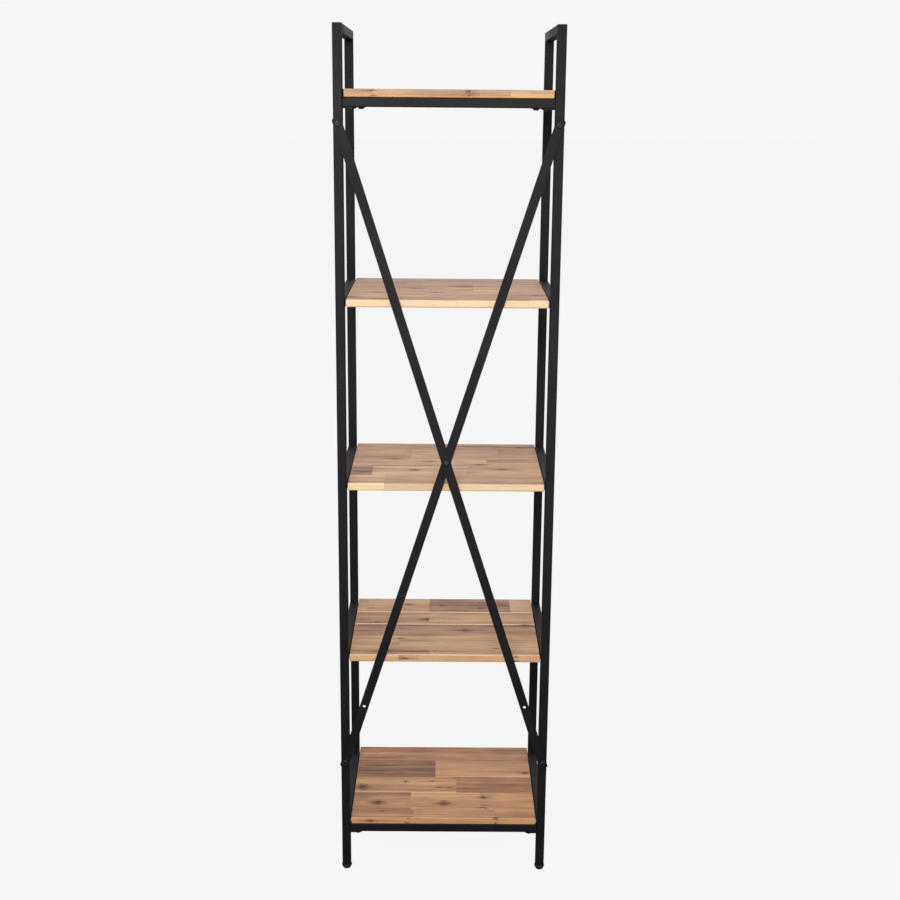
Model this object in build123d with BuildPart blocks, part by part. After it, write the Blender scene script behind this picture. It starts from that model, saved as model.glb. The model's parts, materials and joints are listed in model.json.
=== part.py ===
"""Five-tier bookcase on two welded side frames of square steel tube.

Four bolted crossbars tie the side frames together, an X-brace squares up the
front, five solid wood boards are the shelves, and four levelling feet screw
into the uprights. +X runs to the right, +Y from the braced front to the open
back and +Z up. The origin is on the floor, under the middle of the whole
object. Sizes are in millimetres.
"""
from build123d import *
import os
from math import hypot

os.makedirs("parts", exist_ok=True)

# ---------------------------------------------------------------- dimensions
# The frame as a whole
width = 457.0
depth = 348.0
height = 1838.0
tube = 19.0
wall = 1.2
tube_corner = 2.0
post_bottom = 12.0

# Shelf levels: the end boards lie on crossbars, the middle three on tabs, and
# all five are level with the tops of their side rails
end_board_bottoms = (113.0, 1698.0)
middle_board_tops = (522.0, 910.0, 1299.0)

# Boards
board_thickness = 16.0
board_end_gap = 2.0
board_setback = 1.0
board_edge_radius = 2.0

# Tabs under the crossbars and under the middle boards
tab_thickness = 3.0
crossbar_gap = 0.5
crossbar_tab_width = 16.0
crossbar_tab_reach = 26.5
crossbar_bolt_inset = 16.5
shelf_tab_length = 26.0
shelf_tab_width = 26.0
shelf_tab_from_post = 45.0
shelf_tab_corner = 5.0

# Pins that locate the three lift-out boards
pin_diameter = 5.0
pin_height = 7.0
pin_inset = 15.0
pin_clearance = 0.4
pin_chamfer = 0.6
press_clearance = 0.05

# M6 button-head bolts and the rivet nuts that take them
bolt_diameter = 6.0
bolt_hole = 6.6
bolt_head_diameter = 12.6
bolt_head_height = 3.2
bolt_head_round = 2.4
hex_socket = 4.0
hex_socket_depth = 1.9
rivet_nut_diameter = 9.0
rivet_nut_collar = 11.0
rivet_nut_length = 10.0
rivet_nut_bore = 6.1

# Wood screws that hold the end boards, driven from inside the crossbars
screw_x = 110.0
screw_diameter = 4.0
screw_hole = 4.5
screw_reach = 12.0
screw_head_diameter = 8.0
screw_head_height = 2.6
screw_access_hole = 9.0

# X-brace of two flat bars, one bowed out over the other where they cross
brace_width = 19.0
brace_thickness = 3.0
brace_end = 12.0
brace_corner = 5.0
brace_bolt_low = 266.0
brace_bolt_high = 1647.0
brace_spare_hole = 142.0
brace_bow = 3.05
brace_flat_end = 30.0
cross_nut_width = 10.0
cross_nut_thickness = 5.0
cross_washer_diameter = 12.0
cross_washer_thickness = 1.2

# Levelling feet: plug in the tube, threaded stud and round pad
plug_flange = 2.0
plug_length = 20.0
plug_slack = 0.1
stud_diameter = 8.0
stud_bottom = 3.0
stud_top = 40.0
stud_chamfer = 0.8
pad_top = 9.5
pad_rim_bottom = 6.0
pad_diameter = 22.6
pad_sole_diameter = 17.0
pad_edge_radius = 1.2

# ------------------------------------------------------- worked-out positions
front_overhang = brace_bow + brace_thickness + bolt_head_height
rear_overhang = (pad_diameter - tube) / 2
front_y = (front_overhang - depth - rear_overhang) / 2
rear_y = front_y + depth
post_x = (width - tube) / 2
inner_x = width / 2 - tube
post_y = {"front": front_y + tube / 2, "rear": rear_y - tube / 2}
inwards = {"front": 1, "rear": -1}
side_sign = {"left": -1, "right": 1}
end_name = {"bottom": end_board_bottoms[0], "top": end_board_bottoms[1]}

board_bottoms = (
    end_board_bottoms[0],
    *(top - board_thickness for top in middle_board_tops),
    end_board_bottoms[1],
)
rail_tops = [bottom + board_thickness for bottom in board_bottoms]
board_length = 2 * (inner_x - board_end_gap)
board_depth = depth - 2 * board_setback
board_y = (front_y + rear_y) / 2
shelf_tab_y = (
    front_y + tube + shelf_tab_from_post,
    rear_y - tube - shelf_tab_from_post,
)
brace_middle_z = (brace_bolt_low + brace_bolt_high) / 2
brace_rise = brace_bolt_high - brace_bolt_low
brace_span = hypot(2 * post_x, brace_rise)


# --------------------------------------------------------------- shared shapes
def tube_section():
    """Sketch the hollow square section of the frame's tube."""
    RectangleRounded(tube, tube, tube_corner)
    inner = tube - 2 * wall
    RectangleRounded(inner, inner, tube_corner - wall, mode=Mode.SUBTRACT)


def save(piece, name):
    """Label a finished sub-part and write its STEP file."""
    piece.label = name
    export_step(piece, f"parts/{name}.step")


def button_bolt(head_seat, length):
    """Button-head bolt: the seat plane's normal points out through the head."""
    with BuildPart() as bolt:
        with BuildSketch(head_seat):
            Circle(bolt_head_diameter / 2)
        extrude(amount=bolt_head_height)
        rim = bolt.edges().filter_by(GeomType.CIRCLE).sort_by(Axis(head_seat.origin, head_seat.z_dir))[-1]
        fillet(rim, bolt_head_round)
        with BuildSketch(head_seat.offset(bolt_head_height)):
            RegularPolygon(hex_socket / 2, 6, major_radius=False)
        extrude(amount=-hex_socket_depth, mode=Mode.SUBTRACT)
        with BuildSketch(head_seat):
            Circle(bolt_diameter / 2)
        extrude(amount=-length)
    return bolt.part


def rivet_nut(outer_face):
    """Flush rivet nut in a tube wall, seen from the wall's outer face plane."""
    with BuildPart() as nut:
        with BuildSketch(outer_face):
            Circle(rivet_nut_diameter / 2)
        extrude(amount=-rivet_nut_length)
        with BuildSketch(outer_face.offset(-wall)):
            Circle(rivet_nut_collar / 2)
        extrude(amount=-2 * wall)
        with Locations(outer_face):
            Hole(rivet_nut_bore / 2)
    return nut.part


# ------------------------------------------------------------------ side frames
for side, sign in side_sign.items():
    x = sign * post_x

    for end, y in post_y.items():
        with BuildPart() as upright:
            with BuildSketch(Plane.XY.offset(post_bottom)):
                with Locations((x, y)):
                    tube_section()
            extrude(amount=height - post_bottom)
            mitre = Plane(origin=(x, y, height - tube / 2), z_dir=(0, inwards[end], 1))
            split(bisect_by=mitre, keep=Keep.BOTTOM)
            if end == "front":
                for z in (brace_bolt_low, brace_bolt_high):
                    with Locations(Plane(origin=(x, front_y, z), z_dir=(0, -1, 0))):
                        Hole(rivet_nut_diameter / 2, depth=2 * wall)
        save(upright.part, f"{side}_{end}_upright")

    with BuildPart() as top_rail:
        with BuildSketch(Plane(origin=(x, front_y, height - tube / 2), z_dir=(0, 1, 0))):
            tube_section()
        extrude(amount=depth)
        for end, y in post_y.items():
            mitre = Plane(origin=(x, y, height - tube / 2), z_dir=(0, inwards[end], 1))
            split(bisect_by=mitre, keep=Keep.TOP)
    save(top_rail.part, f"{side}_top_rail")

    for number, rail_top in enumerate(rail_tops, start=1):
        rail_start = Plane(origin=(x, front_y + tube, rail_top - tube / 2), z_dir=(0, 1, 0))
        with BuildPart() as side_rail:
            with BuildSketch(rail_start):
                tube_section()
            extrude(amount=depth - 2 * tube)
        save(side_rail.part, f"{side}_side_rail_{number}")

# -------------------------------------------------------------------- crossbars
bar_length = 2 * (inner_x - crossbar_gap)
crossbar_bolt_x = inner_x - crossbar_bolt_inset
for level, bar_top in end_name.items():
    for end, y in post_y.items():
        bar_start = Plane(origin=(-bar_length / 2, y, bar_top - tube / 2), z_dir=(1, 0, 0))
        with BuildPart() as crossbar:
            with BuildSketch(bar_start):
                tube_section()
            extrude(amount=bar_length)
            underside = Plane(origin=(0, y, bar_top - tube), z_dir=(0, 0, -1))
            with Locations(underside):
                with Locations((-crossbar_bolt_x, 0), (crossbar_bolt_x, 0)):
                    Hole(rivet_nut_diameter / 2, depth=2 * wall)
                with Locations((-screw_x, 0), (screw_x, 0)):
                    Hole(screw_access_hole / 2, depth=2 * wall)
                    Hole(screw_hole / 2, depth=tube)
        save(crossbar.part, f"{level}_{end}_crossbar")

# ------------------------------------------- tabs, bolts and nuts of the crossbars
tab_straight = crossbar_tab_reach - crossbar_tab_width / 2
crossbar_tabs = []
crossbar_bolts = []
crossbar_rivet_nuts = []
board_screws = []
for bar_top in end_board_bottoms:
    bar_bottom = bar_top - tube
    for y in post_y.values():
        for sign in side_sign.values():
            bolt_x = sign * crossbar_bolt_x
            with BuildPart() as tab:
                with BuildSketch(Plane.XY.offset(bar_bottom - tab_thickness)):
                    with Locations((sign * (inner_x - tab_straight / 2), y)):
                        Rectangle(tab_straight, crossbar_tab_width)
                    with Locations((sign * (inner_x - tab_straight), y)):
                        Circle(crossbar_tab_width / 2)
                    with Locations((bolt_x, y)):
                        Circle(bolt_hole / 2, mode=Mode.SUBTRACT)
                extrude(amount=tab_thickness)
            crossbar_tabs.append(tab.part)

            seat = Plane(origin=(bolt_x, y, bar_bottom - tab_thickness), z_dir=(0, 0, -1))
            crossbar_bolts.append(button_bolt(seat, tab_thickness + rivet_nut_length))
            underside = Plane(origin=(bolt_x, y, bar_bottom), z_dir=(0, 0, -1))
            crossbar_rivet_nuts.append(rivet_nut(underside))

            with BuildPart() as screw:
                with BuildSketch(Plane.XY.offset(bar_top - wall)):
                    with Locations((sign * screw_x, y)):
                        Circle(screw_head_diameter / 2)
                extrude(amount=-screw_head_height)
                with BuildSketch(Plane.XY.offset(bar_top - wall)):
                    with Locations((sign * screw_x, y)):
                        Circle(screw_diameter / 2 - press_clearance)
                extrude(amount=wall + screw_reach)
            board_screws.append(screw.part)

save(Compound(children=crossbar_tabs), "crossbar_tabs")
save(Compound(children=crossbar_bolts), "crossbar_bolts")
save(Compound(children=crossbar_rivet_nuts), "crossbar_rivet_nuts")
save(Compound(children=board_screws), "board_screws")

# ---------------------------------------------- tabs and pins of the middle boards
shelf_tabs = []
shelf_pins = []
pin_x = inner_x - pin_inset
for board_top in middle_board_tops:
    tab_top = board_top - board_thickness
    for y in shelf_tab_y:
        for sign in side_sign.values():
            with BuildPart() as tab:
                with BuildSketch(Plane.XY.offset(tab_top - tab_thickness)):
                    with Locations((sign * (inner_x - shelf_tab_length / 2), y)):
                        Rectangle(shelf_tab_length, shelf_tab_width)
                    with Locations((sign * pin_x, y)):
                        Circle(pin_diameter / 2 + press_clearance, mode=Mode.SUBTRACT)
                extrude(amount=tab_thickness)
                inner_corners = tab.edges().filter_by(Axis.Z).sort_by(lambda e: abs(e.center().X))[:2]
                fillet(inner_corners, shelf_tab_corner)
            shelf_tabs.append(tab.part)

            with BuildPart() as pin:
                with BuildSketch(Plane.XY.offset(tab_top - tab_thickness)):
                    with Locations((sign * pin_x, y)):
                        Circle(pin_diameter / 2)
                extrude(amount=tab_thickness + pin_height)
                chamfer(pin.edges().group_by(Axis.Z)[-1], pin_chamfer)
            shelf_pins.append(pin.part)

save(Compound(children=shelf_tabs), "shelf_tabs")
save(Compound(children=shelf_pins), "shelf_pins")

# ------------------------------------------------------------------------ boards
for number, board_bottom in enumerate(board_bottoms, start=1):
    underside = Plane(origin=(0, board_y, board_bottom), z_dir=(0, 0, -1))
    with BuildPart() as board:
        with Locations((0, board_y, board_bottom)):
            Box(board_length, board_depth, board_thickness, align=(Align.CENTER, Align.CENTER, Align.MIN))
        fillet(board.edges(), board_edge_radius)
        if board_bottom in end_board_bottoms:
            with Locations(underside):
                with GridLocations(2 * screw_x, depth - tube, 2, 2):
                    Hole(screw_diameter / 2, depth=screw_reach + 1)
        else:
            with Locations(underside):
                with GridLocations(2 * pin_x, shelf_tab_y[1] - shelf_tab_y[0], 2, 2):
                    Hole(pin_diameter / 2 + pin_clearance, depth=pin_height + 1)
    save(board.part, f"shelf_board_{number}")

# ----------------------------------------------------------------------- X-brace
face_normal = Vector(0, -1, 0)
face_origin = (0, front_y, brace_middle_z)
for name, lean, bow in (("brace_inner", 1, 0.0), ("brace_outer", -1, brace_bow)):
    along = Vector(-lean * 2 * post_x, 0, -brace_rise).normalized()
    face = Plane(origin=face_origin, x_dir=along, z_dir=face_normal)
    edge_on = Plane(origin=face_origin, x_dir=along, z_dir=along.cross(face_normal))
    half = brace_span / 2 + brace_end
    flat = brace_span / 2 - brace_flat_end
    with BuildPart() as brace:
        with BuildSketch(edge_on):
            with BuildLine():
                if bow:
                    back = Spline((-flat, 0), (0, bow), (flat, 0), tangents=((1, 0), (1, 0), (1, 0)))
                    front = Spline(
                        (-flat, brace_thickness),
                        (0, bow + brace_thickness),
                        (flat, brace_thickness),
                        tangents=((1, 0), (1, 0), (1, 0)),
                    )
                else:
                    back = Line((-flat, 0), (flat, 0))
                    front = Line((-flat, brace_thickness), (flat, brace_thickness))
                Polyline(back @ 0, (-half, 0), (-half, brace_thickness), front @ 0)
                Polyline(back @ 1, (half, 0), (half, brace_thickness), front @ 1)
            make_face()
        extrude(amount=brace_width / 2, both=True)
        with BuildSketch(face):
            RectangleRounded(2 * half, brace_width, brace_corner)
        extrude(amount=2 * brace_thickness + bow, mode=Mode.INTERSECT)
        with Locations(face.offset(bow + brace_thickness)):
            spare = brace_span / 2 - brace_spare_hole
            with Locations((-brace_span / 2, 0), (0, 0), (spare, 0), (brace_span / 2, 0)):
                Hole(bolt_hole / 2)
    save(brace.part, name)

brace_bolts = []
brace_rivet_nuts = []
for sign in side_sign.values():
    for z in (brace_bolt_low, brace_bolt_high):
        post_face = Plane(origin=(sign * post_x, front_y, z), z_dir=face_normal)
        bolt_length = brace_thickness + rivet_nut_length
        brace_bolts.append(button_bolt(post_face.offset(brace_thickness), bolt_length))
        brace_rivet_nuts.append(rivet_nut(post_face))
save(Compound(children=brace_bolts), "brace_bolts")
save(Compound(children=brace_rivet_nuts), "brace_rivet_nuts")

crossing = Plane(origin=face_origin, z_dir=face_normal)
cross_seat = crossing.offset(brace_thickness + brace_bow)
cross_length = brace_thickness + brace_bow + cross_washer_thickness + cross_nut_thickness
save(button_bolt(cross_seat, cross_length), "brace_cross_bolt")

with BuildPart() as cross_washer:
    with BuildSketch(crossing):
        Circle(cross_washer_diameter / 2)
        Circle(bolt_hole / 2, mode=Mode.SUBTRACT)
    extrude(amount=-cross_washer_thickness)
save(cross_washer.part, "brace_cross_washer")

with BuildPart() as cross_nut:
    with BuildSketch(crossing.offset(-cross_washer_thickness)):
        RegularPolygon(cross_nut_width / 2, 6, major_radius=False)
        Circle(rivet_nut_bore / 2, mode=Mode.SUBTRACT)
    extrude(amount=-cross_nut_thickness)
save(cross_nut.part, "brace_cross_nut")

# ---------------------------------------------------------------- levelling feet
foot_plugs = []
for side, sign in side_sign.items():
    for end, y in post_y.items():
        x = sign * post_x
        with BuildPart() as plug:
            with BuildSketch(Plane.XY.offset(post_bottom - plug_flange)):
                with Locations((x, y)):
                    RectangleRounded(tube, tube, tube_corner)
            extrude(amount=plug_flange)
            with BuildSketch(Plane.XY.offset(post_bottom)):
                with Locations((x, y)):
                    Rectangle(*2 * [tube - 2 * wall - 2 * plug_slack])
            extrude(amount=plug_length)
            corners = plug.edges().filter_by(Axis.Z).group_by(SortBy.LENGTH)[-1]
            fillet(corners, tube_corner - wall)
            with Locations((x, y, post_bottom + plug_length)):
                Hole(stud_diameter / 2 + press_clearance)
        foot_plugs.append(plug.part)

        with BuildPart() as stud:
            with BuildSketch(Plane.XY.offset(stud_bottom)):
                with Locations((x, y)):
                    Circle(stud_diameter / 2)
            extrude(amount=stud_top - stud_bottom)
            chamfer(stud.edges().group_by(Axis.Z)[-1], stud_chamfer)
        save(stud.part, f"{side}_{end}_foot_stud")

        with BuildPart() as pad:
            with BuildSketch(Plane(origin=(x, y, 0), x_dir=(1, 0, 0), z_dir=(0, -1, 0))):
                with BuildLine():
                    Polyline(
                        (0, 0),
                        (pad_sole_diameter / 2, 0),
                        (pad_diameter / 2, pad_rim_bottom),
                        (pad_diameter / 2, pad_top),
                        (0, pad_top),
                        close=True,
                    )
                make_face()
            revolve(axis=Axis((x, y, 0), (0, 0, 1)))
            rims = pad.edges().filter_by(GeomType.CIRCLE).sort_by(Axis.Z)[-2:]
            fillet(rims, pad_edge_radius)
            with Locations((x, y, pad_top)):
                Hole(stud_diameter / 2 + press_clearance, depth=pad_top - stud_bottom)
        save(pad.part, f"{side}_{end}_foot_pad")
save(Compound(children=foot_plugs), "foot_plugs")
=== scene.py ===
"""Looks of the five-tier bookcase: acacia boards, powder-coated tube, bolts and feet.

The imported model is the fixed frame. Lengths are in metres unless a name ends in
_mm. +X runs to the right, +Y from the braced front to the open back, +Z up.
"""

import json
import math
import random

import bmesh
import bpy
from mathutils import Matrix, Vector

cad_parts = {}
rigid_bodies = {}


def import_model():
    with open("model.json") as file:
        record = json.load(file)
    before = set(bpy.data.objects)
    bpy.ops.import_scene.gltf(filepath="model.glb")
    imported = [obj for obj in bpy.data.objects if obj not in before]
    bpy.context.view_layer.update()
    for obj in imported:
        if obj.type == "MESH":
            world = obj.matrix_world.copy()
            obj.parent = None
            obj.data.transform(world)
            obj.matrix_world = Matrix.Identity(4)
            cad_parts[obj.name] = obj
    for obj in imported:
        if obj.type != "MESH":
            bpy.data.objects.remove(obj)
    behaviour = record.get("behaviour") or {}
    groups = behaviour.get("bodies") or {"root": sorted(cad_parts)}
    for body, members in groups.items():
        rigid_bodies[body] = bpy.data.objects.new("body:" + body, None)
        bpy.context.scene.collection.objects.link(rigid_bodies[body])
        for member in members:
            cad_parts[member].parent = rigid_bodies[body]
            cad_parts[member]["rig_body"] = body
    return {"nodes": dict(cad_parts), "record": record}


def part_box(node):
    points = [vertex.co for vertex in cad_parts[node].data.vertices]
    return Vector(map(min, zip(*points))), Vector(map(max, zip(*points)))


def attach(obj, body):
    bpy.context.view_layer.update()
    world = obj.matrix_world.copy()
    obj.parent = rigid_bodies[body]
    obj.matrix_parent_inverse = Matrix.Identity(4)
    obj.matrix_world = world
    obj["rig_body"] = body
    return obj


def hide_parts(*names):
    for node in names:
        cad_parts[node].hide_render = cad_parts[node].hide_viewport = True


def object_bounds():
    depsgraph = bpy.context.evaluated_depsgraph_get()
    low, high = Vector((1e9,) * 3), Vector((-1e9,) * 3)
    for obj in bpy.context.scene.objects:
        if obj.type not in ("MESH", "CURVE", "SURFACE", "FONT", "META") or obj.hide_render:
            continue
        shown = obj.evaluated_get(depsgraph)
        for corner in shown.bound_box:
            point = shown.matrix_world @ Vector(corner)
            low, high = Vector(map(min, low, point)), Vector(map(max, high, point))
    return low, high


MM = 0.001
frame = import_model()
nodes = frame["nodes"]
cad_low, cad_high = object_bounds()


# ------------------------------------------------------------- shader building
def linear(red, green, blue):
    """Linear colour of an 8-bit sRGB one, as shader sockets take it."""
    def channel(value):
        value /= 255
        return value / 12.92 if value <= 0.04045 else ((value + 0.055) / 1.055) ** 2.4
    return channel(red), channel(green), channel(blue), 1.0


# The mix node's sockets for colours; its number and vector sockets share their names
MIX_COLOUR_A = 6
MIX_COLOUR_B = 7
MIX_COLOUR_RESULT = 2


class Shader:
    """A new material, with short calls that add its nodes and link them."""

    def __init__(self, name, roughness=0.5, specular=0.5, metallic=0.0):
        self.material = bpy.data.materials.new(name)
        self.material.use_nodes = True
        self.tree = self.material.node_tree
        self.surface = self.tree.nodes["Principled BSDF"]
        self.surface.inputs["Roughness"].default_value = roughness
        self.surface.inputs["Specular IOR Level"].default_value = specular
        self.surface.inputs["Metallic"].default_value = metallic

    def feed(self, node, socket, source):
        """Link an output to an input, or set the input when source is a value."""
        if isinstance(source, bpy.types.NodeSocket):
            self.tree.links.new(source, node.inputs[socket])
        elif source is not None:
            node.inputs[socket].default_value = source

    def place(self):
        """Position on the object, in metres, carried along when the piece moves."""
        return self.tree.nodes.new("ShaderNodeTexCoord").outputs["Object"]

    def attribute(self, name, output="Vector"):
        node = self.tree.nodes.new("ShaderNodeAttribute")
        node.attribute_name = name
        return node.outputs[output]

    def vector(self, operation, first, second=None, output="Vector"):
        node = self.tree.nodes.new("ShaderNodeVectorMath")
        node.operation = operation
        self.feed(node, 0, first)
        self.feed(node, 1, second)
        return node.outputs[output]

    def math(self, operation, first, second=None, third=None):
        node = self.tree.nodes.new("ShaderNodeMath")
        node.operation = operation
        self.feed(node, 0, first)
        self.feed(node, 1, second)
        self.feed(node, 2, third)
        return node.outputs["Value"]

    def split(self, vector):
        node = self.tree.nodes.new("ShaderNodeSeparateXYZ")
        self.feed(node, 0, vector)
        return node.outputs["X"], node.outputs["Y"], node.outputs["Z"]

    def join(self, x, y, z):
        node = self.tree.nodes.new("ShaderNodeCombineXYZ")
        for socket, value in enumerate((x, y, z)):
            self.feed(node, socket, value)
        return node.outputs["Vector"]

    def noise(self, where, scale, detail=3.0, roughness=0.5, output="Fac"):
        node = self.tree.nodes.new("ShaderNodeTexNoise")
        self.feed(node, "Vector", where)
        node.inputs["Scale"].default_value = scale
        node.inputs["Detail"].default_value = detail
        node.inputs["Roughness"].default_value = roughness
        return node.outputs[output]

    def ranged(self, value, low, high, to_low=0.0, to_high=1.0, smooth=True):
        """Map low..high to to_low..to_high and hold it at both ends."""
        node = self.tree.nodes.new("ShaderNodeMapRange")
        node.interpolation_type = "SMOOTHSTEP" if smooth else "LINEAR"
        numbers = (low, high, to_low, to_high)
        for socket, number in zip(("From Min", "From Max", "To Min", "To Max"), numbers):
            node.inputs[socket].default_value = number
        self.feed(node, "Value", value)
        return node.outputs["Result"]

    def ramp(self, value, stops):
        node = self.tree.nodes.new("ShaderNodeValToRGB")
        elements = node.color_ramp.elements
        while len(elements) < len(stops):
            elements.new(0.5)
        for element, (position, colour) in zip(elements, stops):
            element.position = position
            element.color = colour
        self.feed(node, "Fac", value)
        return node.outputs["Color"]

    def mix(self, share, first, second, blend="MIX"):
        node = self.tree.nodes.new("ShaderNodeMix")
        node.data_type = "RGBA"
        node.blend_type = blend
        self.feed(node, "Factor", share)
        self.feed(node, MIX_COLOUR_A, first)
        self.feed(node, MIX_COLOUR_B, second)
        return node.outputs[MIX_COLOUR_RESULT]

    def around_zero(self, noise_colour, reach):
        """A colour noise as a vector round zero, up to half of reach either way."""
        centred = self.vector("SUBTRACT", noise_colour, (0.5, 0.5, 0.5))
        return self.vector("MULTIPLY", centred, reach)

    def bump(self, height, depth, normal=None, strength=1.0):
        node = self.tree.nodes.new("ShaderNodeBump")
        node.inputs["Strength"].default_value = strength
        node.inputs["Distance"].default_value = depth
        self.feed(node, "Height", height)
        self.feed(node, "Normal", normal)
        return node.outputs["Normal"]

    def finish(self, **sockets):
        """Link the finished chains to the surface shader's sockets."""
        for name, source in sockets.items():
            self.feed(self.surface, name.replace("_", " "), source)
        return self.material


# ------------------------------------------------------------------- materials
def powder_coat():
    """Matt black powder coat: fine orange peel over a slightly uneven black."""
    shader = Shader("powder_coat_black", specular=0.2)
    place = shader.place()
    patches = shader.noise(place, 9.0, detail=3.0)
    grain = shader.noise(place, 1400.0, detail=2.0)
    tone = shader.math("MULTIPLY_ADD", grain, 0.35, shader.math("MULTIPLY", patches, 0.65))
    colour = shader.ramp(tone, ((0.3, linear(13, 11, 14)), (0.7, linear(24, 20, 25))))
    peel = shader.noise(place, 750.0, detail=2.0)
    normal = shader.bump(peel, 0.09 * MM, strength=0.6)
    normal = shader.bump(grain, 0.03 * MM, normal, strength=0.5)
    roughness = shader.ranged(patches, 0.3, 0.7, 0.48, 0.62)
    return shader.finish(Base_Color=colour, Roughness=roughness, Normal=normal)


def weld_metal():
    """Weld beads under the same black coat, a little rougher."""
    shader = Shader("powder_coat_weld", roughness=0.6, specular=0.22)
    place = shader.place()
    lumps = shader.noise(place, 900.0, detail=3.0)
    colour = shader.ramp(lumps, ((0.3, linear(12, 11, 13)), (0.7, linear(23, 20, 24))))
    return shader.finish(Base_Color=colour, Normal=shader.bump(lumps, 0.2 * MM, strength=0.5))


def black_oxide():
    """Satin black bolts with fine turning marks and handled, shinier patches."""
    shader = Shader("bolt_black_oxide", specular=0.36)
    place = shader.place()
    wear = shader.noise(place, 260.0, detail=4.0, roughness=0.6)
    colour = shader.ramp(wear, ((0.35, linear(16, 16, 19)), (0.75, linear(38, 38, 45))))
    roughness = shader.ranged(wear, 0.35, 0.7, 0.3, 0.44)
    normal = shader.bump(shader.noise(place, 1800.0), 0.03 * MM, strength=0.4)
    return shader.finish(Base_Color=colour, Roughness=roughness, Normal=normal)


def zinc_plate():
    """Bright zinc plate, faintly blue, with dulled patches."""
    shader = Shader("zinc_plate", metallic=1.0)
    place = shader.place()
    dull = shader.noise(place, 140.0, detail=5.0, roughness=0.65)
    colour = shader.ramp(dull, ((0.3, linear(196, 199, 202)), (0.7, linear(158, 160, 164))))
    roughness = shader.ranged(dull, 0.3, 0.7, 0.25, 0.5)
    normal = shader.bump(shader.noise(place, 1500.0), 0.03 * MM, strength=0.4)
    return shader.finish(Base_Color=colour, Roughness=roughness, Normal=normal)


def moulded_plastic():
    """Black moulded plastic: fine spark texture and scuffs."""
    shader = Shader("foot_plastic_black", specular=0.5)
    place = shader.place()
    scuff = shader.noise(place, 90.0, detail=5.0, roughness=0.7)
    colour = shader.ramp(scuff, ((0.35, linear(16, 16, 16)), (0.75, linear(32, 32, 32))))
    roughness = shader.ranged(scuff, 0.3, 0.7, 0.34, 0.55)
    normal = shader.bump(shader.noise(place, 2200.0), 0.05 * MM, strength=0.5)
    return shader.finish(Base_Color=colour, Roughness=roughness, Normal=normal)


# Acacia, from pale sapwood to dark heartwood
SAPWOOD = linear(236, 207, 164)
WOOD_TONES = (
    (0.0, linear(224, 184, 140)),
    (0.3, linear(206, 162, 124)),
    (0.55, linear(184, 139, 107)),
    (0.8, linear(152, 112, 90)),
    (1.0, linear(116, 84, 72)),
)
END_GRAIN = WOOD_TONES[3][1]
PORE = WOOD_TONES[4][1]
MAUVE = linear(150, 112, 102)
KNOT_CORE = linear(66, 41, 31)
GLUE_LINE = linear(132, 96, 74)
# Colour of the painted highlight along the foot of each board's front edge
PAINTED_LIP_HIGHLIGHT = linear(232, 166, 104)
RING_SPACING = 7.5 * MM


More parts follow.
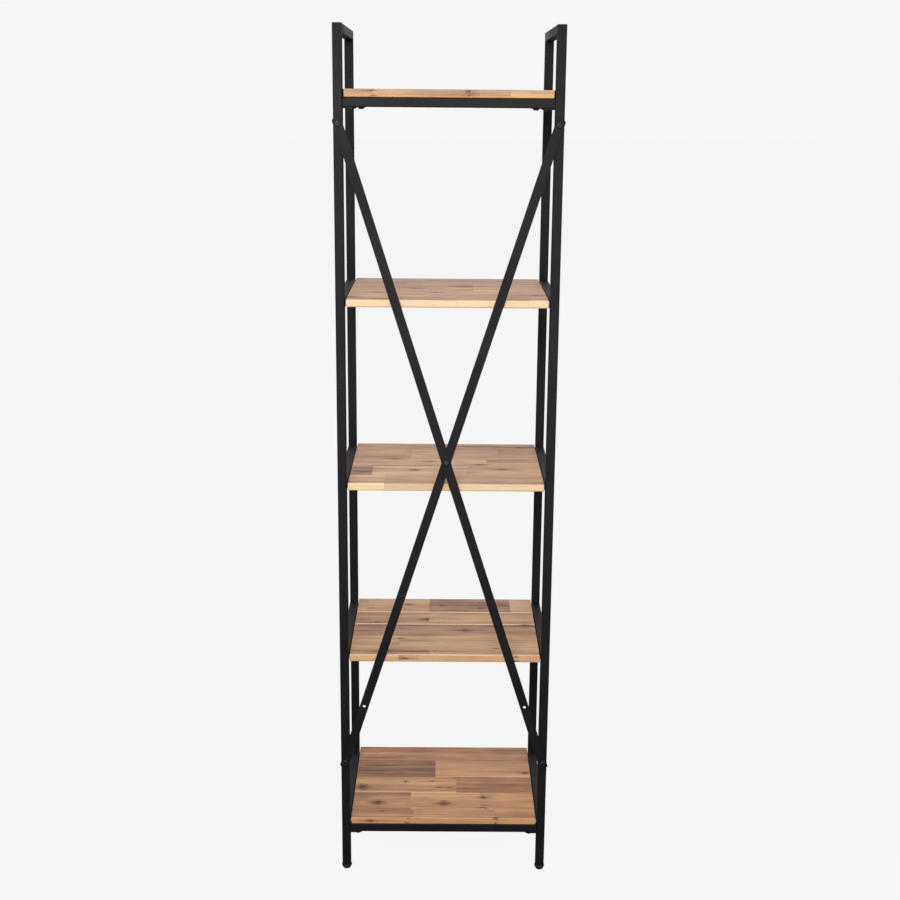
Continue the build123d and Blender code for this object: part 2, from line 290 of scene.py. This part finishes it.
def acacia(name, knots, half_thickness, mid_height, cast_and_sheen):
    """Oiled acacia in edge-glued staves.

    Each face carries its stave's centre, half size (with 1 in Z on the board's
    front edge, and 0 elsewhere), offset into the wood and look. The figure is a
    solid one: growth rings round a pith that runs along X, so tops, edges and
    ends agree. knots is a list of (x, y, depth, half length, half width), in
    metres; they show alike on the top and the underside. The last argument, a
    linear colour, is the board's own cast together with painted sheen: boards 3
    and 4 are drawn greyer for the pale backdrop's reflection at glancing angles,
    and the bottom board deeper and more saturated, where that reflection is faint.
    """
    shader = Shader(name, specular=0.4)
    place = shader.place()
    inside = shader.vector("ADD", place, shader.attribute("stave_offset"))
    tone, sap, streaks = shader.split(shader.attribute("stave_look"))

    def grain(along, across, detail=3.0, roughness=0.5, output="Fac"):
        """Noise drawn out along the stave, in cells a metre along and across it."""
        stretched = shader.vector("MULTIPLY", inside, (along, across, across))
        return shader.noise(stretched, 1.0, detail, roughness, output)

    # Knots, with ragged outlines
    x, y, z = shader.split(place)
    folded = shader.math("ABSOLUTE", shader.math("SUBTRACT", z, mid_height))
    ragged = shader.noise(place, 110.0, detail=4.0, output="Color")
    ragged = shader.around_zero(ragged, (18 * MM, 13 * MM, 6 * MM))
    near_knots = shader.vector("ADD", shader.join(x, y, folded), ragged)

    def from_knots(along, across, deep):
        """Distance from the nearest knot's heart, in its half sizes divided by
        these factors."""
        nearest = None
        for knot_x, knot_y, depth, half_length, half_width in knots:
            away = shader.vector("SUBTRACT", near_knots, (knot_x, knot_y, half_thickness - depth))
            away = shader.vector("MULTIPLY", away,
                                 (along / half_length, across / half_width, deep / half_width))
            away = shader.vector("LENGTH", away, output="Value")
            nearest = away if nearest is None else shader.math("MINIMUM", nearest, away)
        return nearest

    heart = from_knots(1.0, 1.0, 1.0)
    core = shader.ranged(heart, 0.55, 1.12, 1.0, 0.0)
    tail = shader.ranged(from_knots(0.30, 0.85, 0.85), 0.1, 1.2, 1.0, 0.0)
    corners = shader.ranged(from_knots(0.42, 2.6, 1.0), 0.25, 1.1, 0.6, 0.0)

    # Growth rings: distance from the pith, warped slowly along the grain
    warp = shader.around_zero(grain(4, 26, detail=4.0, output="Color"), (0, 30 * MM, 30 * MM))
    across = shader.vector("MULTIPLY", shader.vector("ADD", inside, warp), (0, 1, 1))
    radius = shader.vector("LENGTH", across, output="Value")
    radius = shader.math("MULTIPLY_ADD", tail, 8 * MM, radius)
    rings = shader.math("SINE", shader.math("MULTIPLY", radius, 2 * math.pi / RING_SPACING))
    late = shader.ranged(rings, -0.4, 1.0)

    # Fibres and strands, two broader drifts of colour, and pores
    fibre = grain(11, 480)
    strand = grain(3.2, 130, detail=4.0, roughness=0.6)
    drift = grain(1.8, 26)
    blotch = grain(14, 22)
    flush = grain(2.6, 44, detail=4.0, roughness=0.6)
    pores = shader.ranged(grain(90, 1500, detail=1.0), 0.64, 0.74)

    dark = shader.math("MULTIPLY_ADD", late, 0.06, tone)
    for figure, amount in ((fibre, 0.08), (strand, 0.15), (drift, 0.15), (blotch, 0.08)):
        dark = shader.math("MULTIPLY_ADD", shader.ranged(figure, 0.3, 0.7, -1, 1), amount, dark)
    vein = shader.math("MULTIPLY", shader.ranged(strand, 0.56, 0.68), streaks)
    dark = shader.math("MULTIPLY_ADD", vein, 0.36, dark)
    dark = shader.math("MULTIPLY_ADD", tail, 0.3, dark)
    colour = shader.ramp(dark, WOOD_TONES)
    colour = shader.mix(shader.ranged(flush, 0.46, 0.66, 0.0, 0.42), colour, MAUVE)

    # Sapwood along one side of some staves
    from_mid = shader.vector("SUBTRACT", place, shader.attribute("stave_mid"))
    along, side, _ = shader.split(from_mid)
    half_long, half_wide, on_lip = shader.split(shader.attribute("stave_half"))
    to_side = shader.math("MULTIPLY", side, shader.math("SIGN", sap))
    to_side = shader.math("SUBTRACT", half_wide, to_side)
    width = shader.math("MULTIPLY", shader.math("ABSOLUTE", sap),
                        shader.ranged(drift, 0.3, 0.7, 0.5, 1.5))
    pale = shader.math("SUBTRACT", width, to_side)
    pale = shader.math("MULTIPLY", shader.ranged(pale, -1.2 * MM, 0.8 * MM),
                       shader.ranged(fibre, 0.3, 0.7, 1.0, 0.7))
    colour = shader.mix(pale, colour, SAPWOOD)

    # A painted highlight: an amber band along the foot of the front edge, where its lower rounding
    # catches bounce light
    rise = shader.math("SUBTRACT", z, mid_height - half_thickness)
    lip_highlight = shader.ranged(rise, 2.0 * MM, 4.5 * MM, 0.5, 0.0)
    colour = shader.mix(shader.math("MULTIPLY", lip_highlight, on_lip), colour, PAINTED_LIP_HIGHLIGHT)

    # Glue lines, pores, and the knots' hearts with their dark corners
    gap_long = shader.math("SUBTRACT", half_long, shader.math("ABSOLUTE", along))
    gap_wide = shader.math("SUBTRACT", half_wide, shader.math("ABSOLUTE", side))
    gap = shader.math("MINIMUM", gap_long, gap_wide)
    glue = shader.ranged(gap, 0.1 * MM, 0.4 * MM, 0.45, 0.0)
    colour = shader.mix(glue, colour, GLUE_LINE)
    colour = shader.mix(shader.math("MULTIPLY", pores, 0.35), colour, PORE)
    swirl = shader.math("SINE", shader.math("MULTIPLY", heart, 9.0))
    ink = shader.math("MULTIPLY", core, shader.ranged(swirl, -1.0, 1.0, 0.5, 0.95))
    ink = shader.math("MAXIMUM", ink, corners)
    ink = shader.math("MULTIPLY", ink, shader.ranged(fibre, 0.3, 0.6, 0.8, 1.0))
    colour = shader.mix(ink, colour, KNOT_CORE)

    # End grain drinks more oil and looks darker
    geometry = shader.tree.nodes.new("ShaderNodeNewGeometry")
    end_on = shader.math("ABSOLUTE", shader.split(geometry.outputs["Normal"])[0])
    colour = shader.mix(shader.ranged(end_on, 0.6, 0.95, 0.0, 0.35), colour, END_GRAIN)
    # The board's own cast and a painted sheen: greyer on boards 3 and 4, deeper and more saturated on
    # the bottom board
    colour = shader.mix(1.0, colour, cast_and_sheen, blend="MULTIPLY")

    relief = shader.math("MULTIPLY_ADD", fibre, 0.6, shader.math("MULTIPLY", late, -0.3))
    relief = shader.math("MULTIPLY_ADD", pores, -0.8, relief)
    relief = shader.math("MULTIPLY_ADD", glue, -1.0, relief)
    normal = shader.bump(relief, 0.06 * MM, strength=0.5)
    roughness = shader.ranged(shader.math("ADD", late, fibre), 0.2, 1.5, 0.46, 0.6)
    return shader.finish(Base_Color=colour, Roughness=roughness, Normal=normal)


# ------------------------------------------------------------- mesh and pieces
def make_piece(name, mesh_data, body, material):
    """Turn a bmesh into an object that rides on a body."""
    mesh = bpy.data.meshes.new(name)
    mesh_data.to_mesh(mesh)
    mesh_data.free()
    mesh.materials.append(material)
    piece = bpy.data.objects.new(name, mesh)
    bpy.context.scene.collection.objects.link(piece)
    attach(piece, body)
    return piece


# Boards from the bottom up. A board is rows of staves from its front edge back:
# (row width, [(right end, tone, sapwood, streaks), ...]), in millimetres across
# and from the board's middle, with the last right end left out. Tone runs from
# 0, pale, to 1, dark; on boards 3 and 4 the rearmost rows' tones are raised to
# paint the shade under the boards above. Sapwood is a strip's width: behind if
# positive, and in front if negative. The lip is such a list for the front edge.
# Knots are (from the middle, from the front, below the top, half length, half
# width). A last colour multiplies the whole board's colour: the board's own
# cast together with painted sheen.
BOARDS = (
    dict(
        cast_and_sheen=(0.85, 0.74, 0.61, 1.0),
        lip=[(-76, 0.0, 0, 0.5), (116, -0.1, 0, 0.3), (None, -0.12, 0, 0.2)],
        rows=(
            (36, [(-68, 0.52, 0, 0.7), (116, 0.40, 0, 0.4), (None, 0.36, 0, 0.2)]),
            (79, [(-76, 0.54, 0, 0.6), (85, 0.24, 3, 0.1), (None, 0.44, 0, 0.5)]),
            (76, [(30, 0.32, -3, 0.3), (None, 0.58, 0, 0.3)]),
            (82, [(-20, 0.78, 0, 0.6), (None, 0.26, -4, 0.1)]),
            (73, [(None, 0.56, 0, 0.4)]),
        ),
        knots=(
            (-190, 140, 0, 13, 17), (-151, 68, 0, 11, 12), (0, 65, 0, 13, 13), (92, 93, 0, 8, 9),
            (193, 213, 0, 10, 7), (-164, 0, 9, 8, 5), (-89, 168, 0, 5, 4), (-28, 169, 0, 8, 3),
            (-11, 139, 0, 8, 3), (13, 139, 0, 6, 3), (26, 188, 0, 6, 3), (90, 45, 0, 7, 5),
            (118, 1, 2, 4, 4), (-78, 2, 3, 12, 2), (-140, 30, 0, 9, 3),
        ),
    ),
    dict(
        cast_and_sheen=(0.92, 0.90, 0.86, 1.0),
        lip=[(-100, 0.06, 0, 0.2), (-60, 0.28, 0, 0.5), (None, 0.04, 0, 0.3)],
        rows=(
            (31, [(-35, 0.60, -6, 0.8), (None, 0.24, -5, 0.5)]),
            (79, [(-101, 0.24, 0, 0.3), (None, 0.30, 0, 0.5)]),
            (75, [(None, 0.58, 5, 0.7)]),
            (76, [(-37, 0.52, 5, 0.6), (None, 0.34, 4, 0.3)]),
            (85, [(-184, 0.24, 0, 0.1), (-37, 0.38, 0, 0.5), (155, 0.72, 0, 0.5),
                  (None, 0.24, 0, 0.1)]),
        ),
        knots=(
            (-85, 308, 0, 12, 7), (-42, 211, 0, 7, 9), (-161, 191, 0, 19, 5), (47, 145, 0, 20, 10),
            (185, 176, 0, 19, 9), (90, 287, 0, 12, 7), (-6, 298, 0, 5, 5), (-99, 95, 0, 6, 5),
            (-64, 20, 0, 30, 4), (-86, 0, 8, 11, 4), (113, 39, 0, 7, 4), (153, 1, 3, 5, 3),
        ),
    ),
    dict(
        cast_and_sheen=(1.0, 1.02, 1.05, 1.0),
        lip=[(-130, -0.1, -10, 0.0), (10, 0.02, -1, 0.1), (None, 0.04, -1, 0.2)],
        # The rearmost rows' tones are raised to paint the shade that the boards above cast on the back
        # of this board
        rows=(
            (51, [(-130, 0.34, -5, 0.3), (None, 0.40, 0, 0.5)]),
            (17, [(-130, 0.06, 0, 0.0), (None, 0.40, 0, 0.5)]),
            (68, [(-161, 0.74, 0, 0.6), (47, 0.24, 4, 0.2), (None, 0.34, 0, 0.3)]),
            (77, [(92, 0.32, 0, 0.4), (None, 0.44, 3, 0.4)]),
            (71, [(-79, 0.54, 0, 0.3), (118, 0.46, 0, 0.3), (None, 0.56, 0, 0.5)]),
            (62, [(20, 0.54, 0, 0.3), (None, 0.66, 0, 0.5)]),
        ),
        knots=(
            (-36, 181, 0, 17, 7), (-69, 111, 0, 13, 8), (123, 117, 0, 13, 7), (-113, 204, 0, 14, 6),
            (77, 158, 0, 10, 5), (-183, 96, 0, 12, 5), (179, 313, 0, 24, 8), (60, 318, 0, 26, 6),
        ),
    ),
    dict(
        cast_and_sheen=(1.0, 1.0, 1.04, 1.0),
        lip=[(18, 0.0, -30, 0.0), (165, 0.0, -30, 0.2), (None, 0.0, -30, 0.1)],
        # The rearmost rows' tones are raised to paint the shade that the boards above cast on the back
        # of this board
        rows=(
            (52, [(-179, 0.42, 0, 0.4), (18, 0.28, 0, 0.4), (167, 0.34, 0, 0.4),
                  (None, 0.20, -6, 0.2)]),
            (41, [(-101, 0.14, 0, 0.2), (-38, 0.18, 0, 0.2), (None, 0.26, 0, 0.4)]),
            (52, [(-101, 0.30, 0, 0.4), (None, 0.24, 0, 0.3)]),
            (54, [(55, 0.36, 0, 0.4), (None, 0.26, 0, 0.3)]),
            (46, [(55, 0.44, 0, 0.5), (None, 0.36, 0, 0.3)]),
            (101, [(-90, 0.58, 0, 0.3), (None, 0.56, 0, 0.4)]),
        ),
        knots=(
            (-67, 177, 0, 22, 9), (-150, 108, 0, 16, 8), (41, 215, 0, 20, 11), (-24, 114, 0, 9, 7),
            (188, 75, 0, 18, 9), (-198, 36, 0, 9, 8), (-135, 14, 0, 30, 5),
        ),
    ),
    dict(
        cast_and_sheen=(0.90, 0.90, 0.82, 1.0),
        lip=[(-150, 0.38, 0, 0.6), (-51, 0.20, 0, 0.2), (60, 0.32, 0, 0.4), (121, 0.28, 0, 0.3),
             (None, 0.10, 0, 0.1)],
        rows=(
            (40, [(-45, 0.26, 0, 0.3), (50, 0.46, 0, 0.5), (110, 0.36, 0, 0.2), (None, 0.22, 0, 0.1)]),
            (74, [(60, 0.40, 0, 0.4), (None, 0.30, 0, 0.2)]),
            (76, [(-90, 0.58, 0, 0.5), (None, 0.36, 4, 0.3)]),
            (78, [(20, 0.32, 0, 0.2), (None, 0.50, 0, 0.4)]),
            (78, [(-40, 0.44, 0, 0.3), (None, 0.62, 0, 0.5)]),
        ),
        knots=(
            (45, 0, 12, 11, 5), (38, 0, 4, 6, 3), (-149, 0, 3, 10, 2), (-60, 96, 0, 12, 8),
            (120, 180, 0, 11, 8), (-120, 262, 0, 12, 7), (30, 310, 0, 14, 6),
        ),
    ),
)
BOARD_EDGE_RADIUS = 2.0 * MM
BOARD_EDGE_STEPS = 4


def is_flat(face):
    """True for a face that looks straight along an axis."""
    return max(abs(part) for part in face.normal) > 0.9999


def is_lip(face):
    """True for a face of a board's front edge, with the steeper half of its rounding."""
    return face.normal.y < -0.7


def cut_across(mesh_data, faces, point, normal):
    """Cut these faces where a plane crosses them."""
    edges = {edge for face in faces for edge in face.edges}
    corners = {corner for face in faces for corner in face.verts}
    bmesh.ops.bisect_plane(mesh_data, geom=[*faces, *edges, *corners],
                           plane_co=point, plane_no=normal)


def stave_board(number, design):
    """One board: a rounded slab cut into its staves, which take their looks from
    values on their faces."""
    node = f"shelf_board_{number}"
    low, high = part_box(node)
    middle = (low + high) / 2
    chance = random.Random(100 + number)
    slab = bmesh.new()
    bmesh.ops.create_cube(slab, size=1.0)
    bmesh.ops.scale(slab, vec=high - low, verts=slab.verts)
    bmesh.ops.translate(slab, vec=middle, verts=slab.verts)
    bmesh.ops.bevel(slab, geom=slab.edges[:], offset=BOARD_EDGE_RADIUS,
                    segments=BOARD_EDGE_STEPS, profile=0.5, affect="EDGES")
    mid_layer = slab.faces.layers.float_vector.new("stave_mid")
    half_layer = slab.faces.layers.float_vector.new("stave_half")
    offset_layer = slab.faces.layers.float_vector.new("stave_offset")
    look_layer = slab.faces.layers.float_vector.new("stave_look")

    def mark(left, right, front, back, look, on_lip):
        """Give one stave's faces its place, an offset into the wood and its look."""
        mid = Vector(((left + right) / 2, (front + back) / 2, middle.z))
        half = Vector(((right - left) / 2, (back - front) / 2, float(on_lip)))
        pith = Vector((chance.uniform(-9, 9), chance.uniform(-30 * MM, 30 * MM),
                       chance.choice((-1, 1)) * chance.uniform(35 * MM, 110 * MM)))
        tone, sap, streaks = look
        for face in slab.faces:
            centre = face.calc_center_median()
            inside = left < centre.x < right and front < centre.y < back
            if inside and is_lip(face) == on_lip:
                face[mid_layer] = mid
                face[half_layer] = half
                face[offset_layer] = pith - Vector((0, mid.y, mid.z))
                face[look_layer] = (tone, sap * MM, streaks)

    # The outer staves' bounds lie past the slab, so its rear and end faces are inside them
    row_unit = (high.y - low.y) / sum(width for width, _ in design["rows"])
    front = low.y
    strips = [(design["lip"], low.y - MM, low.y + design["rows"][0][0] * row_unit, True)]
    for width, staves in design["rows"]:
        back = front + width * row_unit
        if back < high.y - MM:
            cut_across(slab, slab.faces[:], (0, back, 0), (0, 1, 0))
        else:
            back = high.y + MM
        strips.append((staves, front, back, False))
        front = back
    for staves, front, back, on_lip in strips:
        left = low.x - MM
        for right_mm, *look in staves:
            right = high.x + MM if right_mm is None else middle.x + right_mm * MM
            if right < high.x:
                faces = [face for face in slab.faces
                         if front < face.calc_center_median().y < back
                         and is_lip(face) == on_lip]
                cut_across(slab, faces, (right, 0, 0), (1, 0, 0))
            mark(left, right, front, back, look, on_lip)
            left = right
    for face in slab.faces:
        face.smooth = not is_flat(face)

    knots = [(middle.x + x * MM, low.y + y * MM, depth * MM, length * MM, width * MM)
             for x, y, depth, length, width in design["knots"]]
    body = nodes[node]["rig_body"]
    finish = acacia(f"acacia_{number}", knots, (high.z - low.z) / 2, middle.z, design["cast_and_sheen"])
    board = make_piece(f"board_{number}", slab, body, finish)
    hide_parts(node)


# --------------------------------------------------------------- weld beads
BEAD_RADIUS = 1.5 * MM
BEAD_PITCH = 2.4 * MM
BEAD_SIDES = 10
BEAD_INSET = 3.0 * MM
RIPPLE_STEPS = 6


def add_bead(mesh_data, start, end, chance):
    """A bead along a line: round sections that swell at every ripple."""
    along = end - start
    steps = max(8, round(along.length / BEAD_PITCH * RIPPLE_STEPS))
    turn = along.to_track_quat("Z", "Y")
    rings = []
    for step in range(steps + 1):
        ripple = abs(math.sin(math.pi * step / RIPPLE_STEPS))
        taper = min(1.0, 0.35 + 0.2 * min(step, steps - step))
        radius = BEAD_RADIUS * taper * (0.84 + 0.16 * ripple + chance.uniform(-0.03, 0.03))
        centre = start + along * (step / steps)
        ring = []
        for side in range(BEAD_SIDES):
            angle = 2 * math.pi * side / BEAD_SIDES
            spoke = turn @ Vector((math.cos(angle), math.sin(angle), 0))
            ring.append(mesh_data.verts.new(centre + spoke * radius))
        rings.append(ring)
    for first, second in zip(rings, rings[1:]):
        for side in range(BEAD_SIDES):
            after = (side + 1) % BEAD_SIDES
            mesh_data.faces.new((first[side], first[after], second[after], second[side]))
    mesh_data.faces.new(rings[0][::-1])
    mesh_data.faces.new(rings[-1])


def weld_beads(side, material):
    """Beads where the rails meet the uprights of one side frame: above and below
    each side rail's ends, and in the inner corners under the top rail."""
    beads = bmesh.new()
    chance = random.Random(side)

    def across(low, high, y, z):
        """A bead across the tube's width at one corner."""
        start = Vector((low.x + BEAD_INSET, y, z))
        add_bead(beads, start, Vector((high.x - BEAD_INSET, y, z)), chance)

    for number in range(1, 6):
        low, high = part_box(f"{side}_side_rail_{number}")
        for y in (low.y, high.y):
            for z in (low.z, high.z):
                across(low, high, y, z)
    low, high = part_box(f"{side}_top_rail")
    tube = high.x - low.x
    for y in (low.y + tube, high.y - tube):
        across(low, high, y, low.z)
    for face in beads.faces:
        face.smooth = True
    make_piece(f"{side}_weld_beads", beads, "frame", material)


# ------------------------------------------------------------- threaded studs
THREAD_PITCH = 1.25 * MM
THREAD_DEPTH = 0.6 * MM
THREAD_SIDES = 32
THREAD_STEPS = 5


def threaded_stud(node, material):
    """An M8 stud whose surface is one continuous helical thread."""
    low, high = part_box(node)
    centre = (low + high) / 2
    outer = (high.x - low.x) / 2
    length = high.z - low.z
    tip_length = outer * 0.25
    tip_taper = outer * 0.2
    count = round(length / THREAD_PITCH * THREAD_STEPS)
    thread = bmesh.new()
    rings = []
    for step in range(count + 1):
        z = low.z + length * step / count
        tip = min(1.0, (high.z - z) / tip_length)
        ring = []
        for side in range(THREAD_SIDES):
            turn = side / THREAD_SIDES
            phase = ((z - low.z) / THREAD_PITCH - turn) % 1.0
            groove = abs(2 * phase - 1)
            radius = outer - THREAD_DEPTH * groove - (1 - tip) * tip_taper
            angle = 2 * math.pi * turn
            ring.append(thread.verts.new((centre.x + radius * math.cos(angle),
                                          centre.y + radius * math.sin(angle), z)))
        rings.append(ring)
    for first, second in zip(rings, rings[1:]):
        for side in range(THREAD_SIDES):
            after = (side + 1) % THREAD_SIDES
            thread.faces.new((first[side], first[after], second[after], second[side]))
    thread.faces.new(rings[0][::-1])
    thread.faces.new(rings[-1])
    for face in thread.faces:
        face.smooth = True
    stud = make_piece(f"{node}_thread", thread, nodes[node]["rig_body"], material)
    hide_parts(node)


# ------------------------------------------------------------------ assembling
finishes = {
    "frame_black": powder_coat(),
    "bolt_black": black_oxide(),
    "zinc_steel": zinc_plate(),
    "foot_plastic": moulded_plastic(),
}
for entry in frame["record"]["subparts"]:
    if entry["material_slot"] in finishes:
        nodes[entry["node"]].data.materials.clear()
        nodes[entry["node"]].data.materials.append(finishes[entry["material_slot"]])

for number, design in enumerate(BOARDS, start=1):
    stave_board(number, design)
weld_finish = weld_metal()
for side in ("left", "right"):
    weld_beads(side, weld_finish)
    for end in ("front", "rear"):
        threaded_stud(f"{side}_{end}_foot_stud", finishes["zinc_steel"])


# ----------------------------------------------------------- floor and backdrop
PALE = 0.922
FLOOR_SHADE = 0.03
FLOOR_LIT = 0.027
SKY_BY_HEIGHT = ((0.0, 0.16), (0.46, 0.16), (0.54, 0.62), (1.0, 0.80))
SKY_BY_DEPTH = ((0.0, 0.45), (0.45, 0.60), (0.75, 1.25), (1.0, 1.40))


def pale_floor():
    """A wide, plain pale floor. It glows at nearly the backdrop's level, so that
    the lights add little to it and shadows on it stay faint."""
    mesh_data = bmesh.new()
    bmesh.ops.create_grid(mesh_data, x_segments=1, y_segments=1, size=60.0)
    mesh = bpy.data.meshes.new("floor")
    mesh_data.to_mesh(mesh)
    mesh_data.free()
    floor = bpy.data.objects.new("floor", mesh)
    bpy.context.scene.collection.objects.link(floor)
    material = bpy.data.materials.new("floor_pale")
    material.use_nodes = True
    surface = material.node_tree.nodes["Principled BSDF"]
    surface.inputs["Base Color"].default_value = (FLOOR_SHADE, FLOOR_SHADE, FLOOR_SHADE, 1)
    surface.inputs["Roughness"].default_value = 1.0
    surface.inputs["Specular IOR Level"].default_value = 0.0
    surface.inputs["Emission Color"].default_value = (1, 1, 1, 1)
    surface.inputs["Emission Strength"].default_value = PALE - FLOOR_LIT
    mesh.materials.append(material)
    floor.visible_diffuse = False
    floor.visible_glossy = False


def studio_world():
    """Pale all round to look at; as a light, bright above and behind, and dim
    below and in front."""
    world = bpy.data.worlds.new("studio")
    bpy.context.scene.world = world
    world.use_nodes = True
    tree = world.node_tree
    seen = tree.nodes["Background"]
    seen.inputs["Color"].default_value = (PALE, PALE, PALE, 1)
    lit = tree.nodes.new("ShaderNodeBackground")
    place = tree.nodes.new("ShaderNodeTexCoord")
    parts = tree.nodes.new("ShaderNodeSeparateXYZ")
    tree.links.new(place.outputs["Generated"], parts.inputs[0])
    levels = []
    for axis, stops in (("Z", SKY_BY_HEIGHT), ("Y", SKY_BY_DEPTH)):
        share = tree.nodes.new("ShaderNodeMapRange")
        share.inputs["From Min"].default_value = -1
        ramp = tree.nodes.new("ShaderNodeValToRGB")
        tree.links.new(parts.outputs[axis], share.inputs["Value"])
        tree.links.new(share.outputs["Result"], ramp.inputs["Fac"])
        while len(ramp.color_ramp.elements) < len(stops):
            ramp.color_ramp.elements.new(0.5)
        for element, (position, level) in zip(ramp.color_ramp.elements, stops):
            element.position = position
            element.color = (level, level, level, 1)
        levels.append(ramp.outputs["Color"])
    both = tree.nodes.new("ShaderNodeVectorMath")
    both.operation = "MULTIPLY"
    tree.links.new(levels[0], both.inputs[0])
    tree.links.new(levels[1], both.inputs[1])
    tree.links.new(both.outputs["Vector"], lit.inputs["Color"])
    rays = tree.nodes.new("ShaderNodeLightPath")
    either = tree.nodes.new("ShaderNodeMixShader")
    tree.links.new(rays.outputs["Is Camera Ray"], either.inputs["Fac"])
    tree.links.new(lit.outputs["Background"], either.inputs[1])
    tree.links.new(seen.outputs["Background"], either.inputs[2])
    tree.links.new(either.outputs["Shader"], tree.nodes["World Output"].inputs["Surface"])


def soft_light(name, place, aim, width, height, power):
    """A rectangular soft light that faces a point."""
    data = bpy.data.lights.new(name, "AREA")
    data.shape = "RECTANGLE"
    data.size = width
    data.size_y = height
    data.energy = power
    light = bpy.data.objects.new(name, data)
    light.location = place
    light.rotation_euler = (Vector(aim) - Vector(place)).to_track_quat("-Z", "Y").to_euler()
    bpy.context.scene.collection.objects.link(light)


CAMERA_LENS = 54.39
CAMERA_PITCH, CAMERA_YAW, CAMERA_ROLL = (math.radians(angle) for angle in (14.417, 0.272, 0.48))
CAMERA_HEIGHT = 1.6929
CAMERA_DISTANCE = 2.748
CAMERA_SIDE = -0.0054


def studio_camera():
    """A camera near the top board's height, looking down at the bookcase's middle."""
    data = bpy.data.cameras.new("camera")
    data.sensor_width = 36.0
    data.lens = CAMERA_LENS
    camera = bpy.data.objects.new("camera", data)
    bpy.context.scene.collection.objects.link(camera)
    level = math.cos(CAMERA_PITCH)
    ahead = Vector((math.sin(CAMERA_YAW) * level, math.cos(CAMERA_YAW) * level,
                    -math.sin(CAMERA_PITCH)))
    right = Vector((math.cos(CAMERA_YAW), -math.sin(CAMERA_YAW), 0))
    upward = right.cross(ahead)
    tilted_right = right * math.cos(CAMERA_ROLL) + upward * math.sin(CAMERA_ROLL)
    tilted_up = upward * math.cos(CAMERA_ROLL) - right * math.sin(CAMERA_ROLL)
    turn = Matrix((tilted_right, tilted_up, -ahead)).transposed().to_4x4()
    place = (CAMERA_SIDE, cad_low.y - CAMERA_DISTANCE, CAMERA_HEIGHT)
    camera.matrix_world = Matrix.Translation(place) @ turn
    bpy.context.scene.camera = camera


# Soft lights: place, the point they face, width, height and power in watts
LIGHTS = {
    "key": ((-0.6, -2.6, 2.4), (0, 0, 1.1), 2.2, 1.0, 63),
    "low_fill": ((0.2, -2.4, 0.8), (0, 0, 0.15), 1.2, 0.6, 16),
    "left_fill": ((-2.2, -0.6, 2.6), (0, 0, 1.9), 1.2, 0.8, 9),
    "right_fill": ((2.2, -0.6, 2.6), (0, 0, 1.9), 1.2, 0.8, 12),
}

pale_floor()
studio_world()
for name, (place, aim, width, height, power) in LIGHTS.items():
    soft_light(name, place, aim, width, height, power)
studio_camera()
bpy.context.scene.view_settings.view_transform = "Standard"
